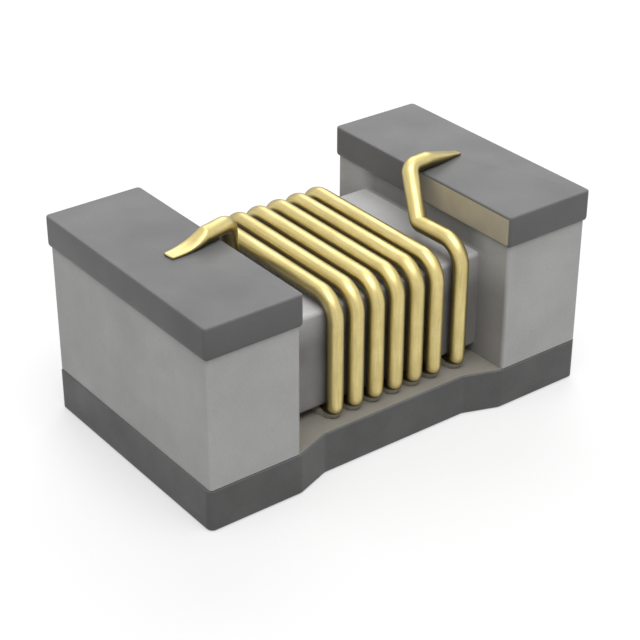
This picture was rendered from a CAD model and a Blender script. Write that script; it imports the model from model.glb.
import math

import bpy
import numpy as np
from mathutils import Matrix, Vector


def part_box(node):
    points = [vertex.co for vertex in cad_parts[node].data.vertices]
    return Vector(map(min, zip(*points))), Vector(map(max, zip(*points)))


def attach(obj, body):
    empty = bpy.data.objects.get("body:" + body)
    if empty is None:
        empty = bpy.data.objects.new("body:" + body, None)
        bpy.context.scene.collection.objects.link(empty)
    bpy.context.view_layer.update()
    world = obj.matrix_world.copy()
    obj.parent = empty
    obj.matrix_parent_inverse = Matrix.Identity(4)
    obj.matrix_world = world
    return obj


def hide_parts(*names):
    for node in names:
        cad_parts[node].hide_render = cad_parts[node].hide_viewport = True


# Wire-wound chip inductor, lying on its cover plate with the terminals up
# Lengths are in millimetres and become metres where a mesh, a bump or the camera is made

mm = 0.001

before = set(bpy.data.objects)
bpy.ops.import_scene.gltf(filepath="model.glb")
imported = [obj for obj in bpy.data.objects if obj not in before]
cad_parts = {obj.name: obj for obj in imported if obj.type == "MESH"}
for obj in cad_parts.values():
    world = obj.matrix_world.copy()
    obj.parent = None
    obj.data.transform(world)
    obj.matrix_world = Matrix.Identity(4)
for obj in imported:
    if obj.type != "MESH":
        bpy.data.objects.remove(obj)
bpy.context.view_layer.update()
print("frame loaded with", ", ".join(sorted(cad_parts)))


# Lowest and highest corner of a CAD node
def boxOf(node):
    low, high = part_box(node)
    return np.array(low) / mm, np.array(high) / mm


# Unit vectors: v / |v| along the last axis
def unit(v):
    return v / np.linalg.norm(v, axis=-1, keepdims=True)


# Length walked along a line of places up to each: the running sum of |place - place before|
def walkedAlong(places):
    return np.concatenate(([0], np.cumsum(np.linalg.norm(np.diff(places, axis=0), axis=1))))


# Quads of a grid of closed rings: corners (i, j), (i, j+1), (i+1, j+1), (i+1, j)
def ringQuads(count, around):
    i, j = np.meshgrid(np.arange(count - 1), np.arange(around), indexing="ij")
    after = (j + 1) % around
    corners = (i * around + j, i * around + after, (i + 1) * around + after, (i + 1) * around + j)
    return np.stack(corners, axis=-1).reshape(-1, 4)


# A closed piece from rings of points, as an array (rings, around, 3), with a flat face on both ends
def ringPiece(name, rings, node, material):
    count, around = rings.shape[:2]
    faces = ringQuads(count, around).tolist()
    faces.append(list(range(around))[::-1])
    faces.append(list(range((count - 1) * around, count * around)))
    mesh = bpy.data.meshes.new(name)
    mesh.from_pydata((rings.reshape(-1, 3) * mm).tolist(), [], faces)
    mesh.shade_smooth()
    mesh.materials.append(material)
    piece = bpy.data.objects.new(name, mesh)
    bpy.context.scene.collection.objects.link(piece)
    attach(piece, "root")
    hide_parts(node)
    return piece


# An input gets a link where the value is a socket, and a constant otherwise
def feed(tree, entry, value):
    if isinstance(value, bpy.types.NodeSocket):
        tree.links.new(value, entry)
    else:
        entry.default_value = value


# One node with its settings and its inputs
def addNode(tree, kind, inputs=None, **settings):
    made = tree.nodes.new(kind)
    for key, value in settings.items():
        setattr(made, key, value)
    for key, value in (inputs or {}).items():
        feed(tree, made.inputs[key], value)
    return made


# One step of arithmetic
def worked(tree, operation, *values, clamp=False):
    inputs = dict(enumerate(values))
    return addNode(tree, "ShaderNodeMath", inputs, operation=operation, use_clamp=clamp).outputs[0]


# A value mapped from start and end to low and high
def spread(tree, value, low, high, start=0.0, end=1.0):
    inputs = {"Value": value, "From Min": start, "From Max": end, "To Min": low, "To Max": high}
    return addNode(tree, "ShaderNodeMapRange", inputs).outputs["Result"]


# A vector or a colour times a number
def scaled(tree, vector, factor):
    return addNode(tree, "ShaderNodeVectorMath", {0: vector, "Scale": factor}, operation="SCALE").outputs[0]


# Two colours mixed by a mask, with the sockets that the Mix node has for colours
def mixed(tree, mask, first, second):
    return addNode(tree, "ShaderNodeMix", {0: mask, 6: first, 7: second}, data_type="RGBA").outputs[2]


# The place on the piece
def placeOf(tree):
    return scaled(tree, addNode(tree, "ShaderNodeTexCoord").outputs["Object"], 1 / mm)


# A noise over places, with the middle of its range mapped to low and high
def noised(tree, place, scale, noise, low=0.0, high=1.0):
    inputs = {"Vector": place, "Scale": scale, "Detail": noise["detail"], "Roughness": noise["roughness"]}
    made = addNode(tree, "ShaderNodeTexNoise", inputs).outputs["Fac"]
    return spread(tree, made, low, high, noise["from"], noise["to"])


# A node group with its number inputs, each with a starting value, and its number outputs
def newGroup(name, inputs, outputs):
    group = bpy.data.node_groups.new(name, "ShaderNodeTree")
    for key, start in inputs.items():
        socket = group.interface.new_socket(key, in_out="INPUT", socket_type="NodeSocketFloat")
        socket.default_value = start
    for key in outputs:
        group.interface.new_socket(key, in_out="OUTPUT", socket_type="NodeSocketFloat")
    return group


# Noises of the finishes, each with the middle part of its range that is used
noises = {
    "grain": {"detail": 3.0, "roughness": 0.55, "from": 0.25, "to": 0.75},
    "clouds": {"detail": 2.0, "roughness": 0.55, "from": 0.3, "to": 0.7},
    "stain": {"detail": 2.0, "roughness": 0.5, "from": 0.3, "to": 0.7},
    "streaks": {"detail": 2.0, "roughness": 0.5, "from": 0.3, "to": 0.7},
}
cloudHeight = 1.5         # height of the clouds, where the grain's is 1
stainScale = 6.0          # patches of the stain in a millimetre
stainLeast = 0.75         # share of the stain that is left where it is thinnest


# Shared finish: fine grain and soft clouds, each a noise of the place over its own size,
# and the height clouds * cloudHeight + grain
def makeGrainGroup():
    group = newGroup("grainAndClouds", {"Grain Size": 0.01, "Cloud Size": 0.2}, ("Grain", "Clouds", "Height"))
    given = addNode(group, "NodeGroupInput").outputs
    place = placeOf(group)
    grain = noised(group, place, worked(group, "DIVIDE", 1.0, given["Grain Size"]), noises["grain"])
    clouds = noised(group, place, worked(group, "DIVIDE", 1.0, given["Cloud Size"]), noises["clouds"])
    height = worked(group, "MULTIPLY_ADD", clouds, cloudHeight, grain)
    addNode(group, "NodeGroupOutput", {"Grain": grain, "Clouds": clouds, "Height": height})
    return group


# Shared stain: varnish that has run from the winding. It lies where |x| is under Reach, z from Low to High and
# y from Front to Back, each edge being (distance inside it) / width, held to 0 and 1. The widths are Soft for
# Reach and Low, Melt for High and Fade for Front and Back. A noise makes the stain uneven
def makeStainGroup():
    starts = {"Reach": 0.5, "Low": 0.0, "High": 1.0, "Front": -1.0, "Back": 1.0,
              "Soft": 0.02, "Melt": 0.003, "Fade": 0.02}
    group = newGroup("varnishStain", starts, ("Mask",))
    given = addNode(group, "NodeGroupInput").outputs
    place = placeOf(group)
    x, y, z = addNode(group, "ShaderNodeSeparateXYZ", {0: place}).outputs
    beside = worked(group, "ABSOLUTE", x)
    mask = noised(group, place, stainScale, noises["stain"], stainLeast, 1.0)
    for upper, lower, width in ((given["Reach"], beside, "Soft"), (z, given["Low"], "Soft"),
                                (given["High"], z, "Melt"), (given["Back"], y, "Fade"),
                                (y, given["Front"], "Fade")):
        inside = worked(group, "SUBTRACT", upper, lower)
        share = worked(group, "DIVIDE", inside, given[width], clamp=True)
        mask = worked(group, "MULTIPLY", mask, share)
    addNode(group, "NodeGroupOutput", {"Mask": mask})
    return group


grainGroup = makeGrainGroup()
stainGroup = makeStainGroup()


# A material from its own dictionary of values. Clouds mix its two colours and grain speckles them. Then come
# what only the wire has, which is streaks, the dark inner side and the dark rim, and last the stains
def makeFinish(name, finish):
    material = bpy.data.materials.new(name)
    material.use_nodes = True
    tree = material.node_tree
    shader = tree.nodes["Principled BSDF"]
    for key, value in finish["shader"].items():
        shader.inputs[key].default_value = value
    sizes = {"Grain Size": finish["grainSize"], "Cloud Size": finish["cloudSize"]}
    grain = addNode(tree, "ShaderNodeGroup", sizes, node_tree=grainGroup).outputs
    colour = mixed(tree, grain["Clouds"], finish["darkColour"], finish["lightColour"])
    speckle = spread(tree, grain["Grain"], 1 - finish["speckle"], 1 + finish["speckle"])
    colour = scaled(tree, colour, speckle)
    if "streaks" in finish:
        streaks = finish["streaks"]
        drawn = addNode(tree, "ShaderNodeAttribute", attribute_name="alongWire").outputs["Vector"]
        low, high = 1 - streaks["shade"], 1 + streaks["shade"]
        colour = scaled(tree, colour, noised(tree, drawn, streaks["scale"], noises["streaks"], low, high))
    if "groove" in finish:
        groove = finish["groove"]
        outward = addNode(tree, "ShaderNodeAttribute", attribute_name="outward").outputs["Fac"]
        share = spread(tree, outward, 0.0, groove["share"], groove["from"], groove["to"])
        colour = mixed(tree, share, colour, groove["colour"])
    if "rim" in finish:
        rim = finish["rim"]
        facing = addNode(tree, "ShaderNodeLayerWeight", {"Blend": 0.5}).outputs["Facing"]
        colour = mixed(tree, spread(tree, facing, 0.0, 1.0, rim["from"], rim["to"]), colour, rim["colour"])
    for stain in finish["stains"]:
        mask = addNode(tree, "ShaderNodeGroup", stain["place"], node_tree=stainGroup).outputs["Mask"]
        colour = mixed(tree, spread(tree, mask, 0.0, stain["share"]), colour, stain["colour"])
        if "Metallic" in finish["shader"]:
            bare = finish["shader"]["Metallic"]
            feed(tree, shader.inputs["Metallic"], spread(tree, mask, bare, 0.0))
    smooth, rough = finish["roughness"]
    bump = {"Strength": finish["bumpStrength"], "Distance": finish["bumpDepth"] * mm, "Height": grain["Height"]}
    feed(tree, shader.inputs["Base Color"], colour)
    feed(tree, shader.inputs["Roughness"], spread(tree, grain["Clouds"], rough, smooth))
    feed(tree, shader.inputs["Normal"], addNode(tree, "ShaderNodeBump", bump).outputs["Normal"])
    return material


# Ceramic core: the CAD node, fine fired alumina, stained between the flanges and darker over the bobbin

ceramic = {
    "darkColour": (0.498, 0.496, 0.490, 1),
    "lightColour": (0.543, 0.541, 0.535, 1),
    "speckle": 0.05,
    "grainSize": 0.010,
    "cloudSize": 0.22,
    "roughness": (0.55, 0.72),
    "bumpStrength": 0.35,
    "bumpDepth": 0.0012,
    "shader": {"Specular IOR Level": 0.35},
    "stains": [
        {"place": {"Reach": 0.56, "Low": -1.0, "High": 0.70, "Soft": 0.02, "Melt": 0.15},
         "share": 0.72, "colour": (0.15, 0.135, 0.12, 1)},
        {"place": {"Reach": 0.56, "Low": 0.70, "High": 2.0, "Front": -0.45, "Back": 0.42,
                   "Soft": 0.02, "Fade": 0.10},
         "share": 0.92, "colour": (0.075, 0.067, 0.06, 1)},
    ],
}

# Cover plate: the CAD node, moulded resin, stained on top between the flanges

resin = {
    "darkColour": (0.133, 0.133, 0.132, 1),
    "lightColour": (0.155, 0.155, 0.153, 1),
    "speckle": 0.07,
    "grainSize": 0.008,
    "cloudSize": 0.16,
    "roughness": (0.30, 0.42),
    "bumpStrength": 0.30,
    "bumpDepth": 0.0010,
    "shader": {"Specular IOR Level": 0.12},
    "stains": [{"place": {"Reach": 0.56, "Low": 0.196, "High": 2.0, "Soft": 0.003},
                "share": 1.0, "colour": (0.31, 0.29, 0.25, 1)}],
}


# A CAD node that keeps its form and takes this finish alone
def dressNode(node, name, finish):
    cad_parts[node].data.materials.clear()
    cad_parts[node].data.materials.append(makeFinish(name, finish))
    print("dressed", node)


dressNode("ceramic_core", "firedCeramic", ceramic)
dressNode("cover_plate", "mouldedResin", resin)


# Terminals: plated caps over the flanges, stained gold on their inner sides

plating = {
    "darkColour": (0.155, 0.155, 0.156, 1),
    "lightColour": (0.178, 0.178, 0.177, 1),
    "speckle": 0.05,
    "grainSize": 0.007,
    "cloudSize": 0.30,
    "roughness": (0.32, 0.44),
    "bumpStrength": 0.22,
    "bumpDepth": 0.0008,
    "shader": {"Specular IOR Level": 0.12},
    "stains": [{"place": {"Reach": 0.538, "Low": -1.0, "High": 0.935, "Back": 0.04,
                          "Soft": 0.003, "Fade": 0.22},
                "share": 0.9, "colour": (0.68, 0.61, 0.45, 1)}],
}

cap = {
    "wall": 0.012,            # thickness beside the flange
    "top": 0.03,              # thickness over the flange
    "cornerRadius": 0.020,
    "topRimRadius": 0.008,
    "lowRimReach": 0.0105,    # how far the lower rim turns in
    "lowRimHeight": 0.020,
    "hollowRadius": 0.014,    # upright corners inside, as the flange has them
    "cornerSteps": 10,
    "rimSteps": 7,
}


# Rounded rectangle in four quarter turns: corner centre + radius (cos t, sin t)
def roundedRectangle(low, high, inset, radius, steps):
    quarter = np.repeat(np.arange(4) * np.pi / 2, steps)
    t = quarter + np.tile(np.linspace(0, np.pi / 2, steps), 4)
    middle, half = (low + high)[:2] / 2, (high - low)[:2] / 2 - inset - radius
    signs = np.sign(np.stack((np.cos(quarter + np.pi / 4), np.sin(quarter + np.pi / 4)), axis=-1))
    return middle + signs * half + radius * np.stack((np.cos(t), np.sin(t)), axis=-1)


# A cap as rings from its ceiling down inside, round the lower rim and up to its top. With t from 0 to a right
# angle, the lower rim is a quarter ellipse, inset lowRimReach (1 - sin t) and height lowRimHeight (1 - cos t),
# and the top rim a quarter circle, inset r (1 - cos t) and depth r (1 - sin t)
def capRings(low, high):
    t = np.linspace(0, np.pi / 2, cap["rimSteps"])
    rows = [(cap["wall"], z, cap["hollowRadius"]) for z in (high[2] - cap["top"], low[2])]
    for inset, height in zip(cap["lowRimReach"] * (1 - np.sin(t)), cap["lowRimHeight"] * (1 - np.cos(t))):
        rows.append((inset, low[2] + height, cap["cornerRadius"] - inset))
    for inset, depth in zip(cap["topRimRadius"] * (1 - np.cos(t)), cap["topRimRadius"] * (1 - np.sin(t))):
        rows.append((inset, high[2] - depth, cap["cornerRadius"] - inset))
    rings = []
    for inset, z, radius in rows:
        ring = roundedRectangle(low, high, inset, radius, cap["cornerSteps"])
        rings.append(np.column_stack((ring, np.full(len(ring), z))))
    return np.array(rings)


tinPlating = makeFinish("tinPlating", plating)
for node in ("near_terminal", "far_terminal"):
    piece = ringPiece(node + "_cap", capRings(*boxOf(node)), node, tinPlating)
    piece.modifiers.new("weighedNormals", "WEIGHTED_NORMAL").keep_sharp = True
    print("made", piece.name, "with", len(piece.data.polygons), "faces")


# Winding: one enamelled wire, six turns and a longer end turn on each side

wire = {
    "diameter": 0.075,
    "turnCount": 6,
    "turnPitch": 0.107,
    "endTurnStep": 0.136,     # from the last turn to the end turn beside it
    "sideY": 0.447,           # places of the centreline beside, over and under the bobbin
    "topZ": 0.758,
    "underZ": 0.195,
    "coreY": 0.39,            # the bobbin that the wire turns its inner side to
    "coreLow": 0.26,
    "coreHigh": 0.68,
    "topBend": 0.10,
    "underBend": 0.07,
    "crestBend": 0.055,
    "kinkBend": 0.040,
    "around": 48,
    "bendSteps": 18,
}

# Each wire end: height of its run and of the lift at its crest, gaps and reach from the terminal's inner edge,
# places across the width, and the pressed foot: its length, the share of it in which its slope sets in, the
# powers of its thinning and narrowing, and its tip
ends = {
    "near": {"side": -1, "runZ": 0.758, "kinkGap": 0.1305, "kinkY": 0.10,
             "crestGap": 0.0623, "crestY": 0.0104, "crestLift": 0.005,
             "shoulderReach": 0.070, "shoulderY": -0.0163, "footLength": 0.190,
             "slopeIn": 0.08, "thinning": 2.6, "narrowing": 2.0,
             "tipY": -0.033, "tipWidth": 0.060, "tipThickness": 0.012},
    "far": {"side": 1, "runZ": 0.7975, "kinkGap": 0.14, "kinkY": -0.176,
            "crestGap": 0.0632, "crestY": -0.012, "crestLift": 0.002,
            "shoulderReach": 0.030, "shoulderY": -0.001, "footLength": 0.226,
            "slopeIn": 0.14, "thinning": 1.1, "narrowing": 1.1,
            "tipY": 0.026, "tipWidth": 0.036, "tipThickness": 0.012},
}

foot = {
    "bulge": 0.004,           # how much the pressing widens the wire halfway
    "squareness": 5.0,        # power of the section at the tip, where 2 is round
    "steps": 48,
    "tipRound": 0.03,         # share of the length over which the tip is rounded
    "tipTurn": 0.9,           # how far the rounding goes, where 1 would close the tip
    "tipPinch": 0.5,          # how much of the rounding the width takes part in
}

wireRadius = wire["diameter"] / 2
firstX = -(wire["turnCount"] - 1) / 2 * wire["turnPitch"]
endX = wire["endTurnStep"] - firstX
innerEdge, capTop = boxOf("near_terminal")[1][[0, 2]] * (-1, 1)


# Shoulder, crest and kink of one wire end and the bend at the end of its run, from the terminal inwards
def endPoints(end):
    lyingZ = capTop + wireRadius
    side = end["side"]
    return [
        (side * (innerEdge + end["shoulderReach"]), end["shoulderY"], lyingZ),
        (side * (innerEdge - end["crestGap"]), end["crestY"], lyingZ + end["crestLift"]),
        (side * (innerEdge - end["kinkGap"]), end["kinkY"], end["runZ"]),
        (side * endX, -side * wire["sideY"], end["runZ"]),
    ]


# Corners of the wire's centreline and the bend radius in each
def windingCorners():
    y, low, high = wire["sideY"], wire["underZ"], wire["topZ"]
    under, top, kink, crest = (wire[key] for key in ("underBend", "topBend", "kinkBend", "crestBend"))
    points = endPoints(ends["near"]) + [(-endX, y, low)]
    radii = [crest, kink, top, under]
    for turn in range(wire["turnCount"]):
        x = firstX + turn * wire["turnPitch"]
        points += [(x, -y, low), (x, -y, high), (x, y, high), (x, y, low)]
        radii += [under, top, top, under]
    points += [(endX, -y, low)] + endPoints(ends["far"])[::-1]
    radii += [under, top, kink, crest]
    return np.array(points), radii


# Centres, directions and side vectors along the bent wire. In a corner between directions a and b, with m the
# part of b square to a, c the corner, w the whole angle and t from 0 to w:
# place(t) = c - r tan(w / 2) a + r sin t a + r (1 - cos t) m, and the side vector turns by t about a x m
def bentLine(points, radii, side):
    places, ways, sides = [points[:1]], [unit(points[1] - points[0])[None]], [side[None]]
    share = np.linspace(0, 1, wire["bendSteps"])[:, None]
    for before, corner, after, r in zip(points, points[1:], points[2:], radii):
        a, b = unit(corner - before), unit(after - corner)
        angle = math.acos(a @ b)
        m = unit(b - (a @ b) * a)
        axis = np.cross(a, m)
        t = angle * share
        places.append(corner - a * r * math.tan(angle / 2) + r * np.sin(t) * a + r * (1 - np.cos(t)) * m)
        ways.append(np.cos(t) * a + np.sin(t) * m)
        turned = side * np.cos(t) + np.cross(axis, side) * np.sin(t) + axis * (axis @ side) * (1 - np.cos(t))
        sides.append(turned)
        side = turned[-1]
    places.append(points[-1:])
    ways.append(unit(points[-1] - points[-2])[None])
    sides.append(side[None])
    return np.vstack(places), np.vstack(ways), np.vstack(sides)


# A pressed section: |u / (width / 2)|^n + |v / (thickness / 2)|^n = 1, as powers 2 / n of cosine and sine
def pressedSection(psi, width, thickness, n):
    u, v = np.cos(psi), np.sin(psi)
    return width / 2 * np.sign(u) * np.abs(u) ** (2 / n), thickness / 2 * np.sign(v) * np.abs(v) ** (2 / n)


# One foot as rings from shoulder to tip, lying on the terminal's top. With s the share of its length and b the
# share in which the slope sets in: q = s^2 / 2b up to b and s - b / 2 after it, over its own value at s = 1,
# thickness = tip + (wire - tip) (1 - q)^thinning, width = wire + (tip - wire) s^narrowing + bulge sin(pi s),
# and at the tip both shrink by sqrt(1 - e^2), with e from 0 to tipTurn over the rounded share
def footRings(end, psi):
    s = np.linspace(0, 1, foot["steps"] + 1)[1:, None]
    b = end["slopeIn"]
    q = np.where(s < b, s ** 2 / (2 * b), s - b / 2) / (1 - b / 2)
    thickness = end["tipThickness"] + (wire["diameter"] - end["tipThickness"]) * (1 - q) ** end["thinning"]
    narrow = end["tipWidth"] - wire["diameter"]
    width = wire["diameter"] + narrow * s ** end["narrowing"] + foot["bulge"] * np.sin(np.pi * s)
    n = 2 + (foot["squareness"] - 2) * s
    e = np.clip((s - 1) / foot["tipRound"] + 1, 0, foot["tipTurn"])
    shrunk = np.sqrt(1 - e ** 2)
    x, y, _ = endPoints(end)[0]
    tipX = end["side"] * (innerEdge + end["shoulderReach"] + end["footLength"])
    level = np.array([tipX - x, end["tipY"] - y, 0.0])
    across = np.cross(unit(level), (0, 0, 1)) * end["side"]
    pinched = width * (1 - foot["tipPinch"] * (1 - shrunk))
    u, v = pressedSection(psi, pinched, thickness * shrunk, n)
    centre = np.array([x, y, capTop]) + level * s
    lift = (v + thickness / 2)[..., None] * np.array([0, 0, 1])
    return centre[:, None] + u[..., None] * across + lift


# The whole wire as rings, and the angles psi round it: both feet, and between them the round section
# place + wireRadius (cos a side + sin a up), where a = psi + roll * walked share brings it level with the
# far foot
def windingRings():
    points, radii = windingCorners()
    startSide = unit(np.cross(unit(points[1] - points[0]), (0, 0, 1)))
    places, ways, sides = bentLine(points, radii, startSide)
    ups = np.cross(sides, ways)
    walked = walkedAlong(places)
    endSide = unit(np.cross(ways[-1], (0, 0, 1)))
    roll = math.atan2(endSide @ ups[-1], endSide @ sides[-1])
    psi = np.linspace(0, 2 * np.pi, wire["around"], endpoint=False)
    a = (psi + (roll * walked / walked[-1])[:, None])[..., None]
    wound = places[:, None] + wireRadius * (np.cos(a) * sides[:, None] + np.sin(a) * ups[:, None])
    return np.vstack((footRings(ends["near"], psi)[::-1], wound, footRings(ends["far"], psi))), psi


# Enamelled wire: pale gold metal under clear enamel, with faint drawing lines. It is dark on the side to the
# bobbin and where it sinks into the resin, which coats its lowest part

enamel = {
    "darkColour": (0.61, 0.50, 0.21, 1),
    "lightColour": (0.69, 0.575, 0.255, 1),
    "speckle": 0.04,
    "grainSize": 0.012,
    "cloudSize": 0.12,
    "roughness": (0.36, 0.48),
    "bumpStrength": 0.15,
    "bumpDepth": 0.0006,
    "shader": {"Metallic": 0.9, "Coat Weight": 0.1, "Coat Roughness": 0.25},
    "rim": {"from": 0.42, "to": 0.95, "colour": (0.14, 0.10, 0.015, 1)},
    "streaks": {"scale": 4.0, "shade": 0.10, "length": 0.5},
    "groove": {"from": 0.32, "to": -0.18, "share": 0.93, "colour": (0.07, 0.05, 0.012, 1)},
    "sunk": {"from": 0.2495, "to": 0.2265, "depth": 1.2},    # two heights, and how far the groove's mark drops
    "stains": [{"place": {"Reach": 2.0, "Low": -1.0, "High": 0.227, "Soft": 0.004},
                "share": 1.0, "colour": (0.40, 0.375, 0.32, 1)}],
}


# Marks on the wire's points for its finish. alongWire is (cos psi, sin psi, walked / streak length). outward is
# the cosine, in the plane across the part, between the way out of the wire and the way off the bobbin's nearest
# point, less the depth times the share by which the point is below the sunk heights
def markWire(piece, rings, psi):
    centres = rings.mean(axis=1, keepdims=True)
    along = np.repeat(walkedAlong(centres[:, 0]) / enamel["streaks"]["length"], len(psi))
    around = np.tile(np.stack((np.cos(psi), np.sin(psi)), axis=-1), (len(rings), 1))
    marks = piece.data.attributes.new("alongWire", "FLOAT_VECTOR", "POINT")
    marks.data.foreach_set("vector", np.column_stack((around, along)).ravel())
    place = centres[..., 1:]
    nearest = np.clip(place, (-wire["coreY"], wire["coreLow"]), (wire["coreY"], wire["coreHigh"]))
    outward = (unit(rings - centres)[..., 1:] * unit(place - nearest)).sum(axis=-1)
    sunk = enamel["sunk"]
    below = np.clip((sunk["from"] - rings[..., 2]) / (sunk["from"] - sunk["to"]), 0, 1)
    marks = piece.data.attributes.new("outward", "FLOAT", "POINT")
    marks.data.foreach_set("value", (outward - sunk["depth"] * below).ravel())


wireRings, wirePsi = windingRings()
winding = ringPiece("enamelled_winding", wireRings, "winding", makeFinish("enamelledWire", enamel))
markWire(winding, wireRings, wirePsi)
print("made", winding.name, "with", len(winding.data.polygons), "faces")


# Studio: pale floor, soft lamps and a white surround

studio = {
    "ambient": 0.37,          # the surround's light on the object, where 1 is white
    "floorReach": 200.0,
    "floorRoughness": 0.9,
    "floorSeen": 0.93,        # the floor's colour for the viewer, and the greyer one that throws light back
    "floorBounce": 0.40,
    "floorGlow": 0.45,        # share of plain white that the viewer sees in the floor
}

# Soft lamps, far away: azimuth from +X towards +Y and elevation of the way to it, its spread, all in degrees,
# and its level, which is what a white face turned to it shows
lamps = {
    "overhead": {"azimuth": 252, "elevation": 73, "spread": 50, "level": 0.64},
    "behind": {"azimuth": 53, "elevation": 42, "spread": 44, "level": 0.28},
}


# 1 for what the viewer sees, in gloss and through glass too, and 0 once the light has met a matt surface
def shownToViewer(tree):
    seen = addNode(tree, "ShaderNodeLightPath").outputs
    shown = worked(tree, "MAXIMUM", seen["Is Camera Ray"], seen["Is Glossy Ray"])
    shown = worked(tree, "MAXIMUM", shown, seen["Is Transmission Ray"])
    direct = worked(tree, "LESS_THAN", seen["Diffuse Depth"], 0.5)
    return worked(tree, "MULTIPLY", shown, direct)


# The surround gives its plain level as light and shows white to the viewer
def makeSurround():
    world = bpy.data.worlds.new("surround")
    bpy.context.scene.world = world
    world.use_nodes = True
    tree = world.node_tree
    background = tree.nodes["Background"].inputs
    background["Color"].default_value = (1, 1, 1, 1)
    feed(tree, background["Strength"], spread(tree, shownToViewer(tree), studio["ambient"], 1.0))


# The floor throws light back as grey does and is pale to the viewer, with a share of plain white
def makeFloor():
    reach = studio["floorReach"] * mm
    corners = [(-reach, -reach, 0), (reach, -reach, 0), (reach, reach, 0), (-reach, reach, 0)]
    mesh = bpy.data.meshes.new("floor")
    mesh.from_pydata(corners, [], [(0, 1, 2, 3)])
    material = bpy.data.materials.new("paleFloor")
    material.use_nodes = True
    tree = material.node_tree
    shader = tree.nodes["Principled BSDF"]
    shader.inputs["Roughness"].default_value = studio["floorRoughness"]
    shader.inputs["Specular IOR Level"].default_value = 0.0
    shown = shownToViewer(tree)
    bounced, viewed = ((studio[key],) * 3 + (1,) for key in ("floorBounce", "floorSeen"))
    feed(tree, shader.inputs["Base Color"], mixed(tree, shown, bounced, viewed))
    share = worked(tree, "MULTIPLY", shown, studio["floorGlow"])
    glow = addNode(tree, "ShaderNodeEmission", {"Color": (1, 1, 1, 1), "Strength": 1.0})
    blend = addNode(tree, "ShaderNodeMixShader", {0: share, 1: shader.outputs[0], 2: glow.outputs[0]})
    feed(tree, tree.nodes["Material Output"].inputs["Surface"], blend.outputs[0])
    mesh.materials.append(material)
    floor = bpy.data.objects.new("floor", mesh)
    bpy.context.scene.collection.objects.link(floor)


# A far, wide lamp that lights a white face turned to it to its level: strength = pi level
def makeLamp(name, lamp):
    azimuth, elevation = math.radians(lamp["azimuth"]), math.radians(lamp["elevation"])
    flat = math.cos(elevation)
    toLamp = Vector((math.cos(azimuth) * flat, math.sin(azimuth) * flat, math.sin(elevation)))
    light = bpy.data.lights.new(name, "SUN")
    light.angle = math.radians(lamp["spread"])
    light.energy = math.pi * lamp["level"]
    placed = bpy.data.objects.new(name, light)
    placed.rotation_euler = (-toLamp).to_track_quat("-Z", "Y").to_euler()
    bpy.context.scene.collection.objects.link(placed)


makeSurround()
makeFloor()
for name, lamp in lamps.items():
    makeLamp(name, lamp)
print("studio ready with", len(lamps), "lamps")


# Camera: where the photo was taken from

viewer = {
    "place": (-4.0717, -5.3819, 4.2529),
    "azimuth": 37.0644,       # from +Y towards +X, in degrees
    "dip": 29.9385,           # below the horizon
    "roll": -0.0888,
    "lens": 99.41,
    "sensor": 36.0,
    "nearest": 0.1,           # what is closer or farther isn't seen
    "farthest": 1000.0,
}


def makeCamera():
    azimuth, dip, roll = (math.radians(viewer[key]) for key in ("azimuth", "dip", "roll"))
    lens = bpy.data.cameras.new("viewer")
    lens.lens = viewer["lens"]
    lens.sensor_width = viewer["sensor"]
    lens.clip_start = viewer["nearest"] * mm
    lens.clip_end = viewer["farthest"] * mm
    camera = bpy.data.objects.new("viewer", lens)
    turned = Matrix.Rotation(-azimuth, 4, "Z") @ Matrix.Rotation(math.pi / 2 - dip, 4, "X")
    turned = turned @ Matrix.Rotation(-roll, 4, "Z")
    camera.matrix_world = Matrix.Translation(Vector(viewer["place"]) * mm) @ turned
    bpy.context.scene.collection.objects.link(camera)
    bpy.context.scene.camera = camera


makeCamera()
bpy.context.scene.view_settings.view_transform = "Standard"
print("camera ready")

print("sizes written")
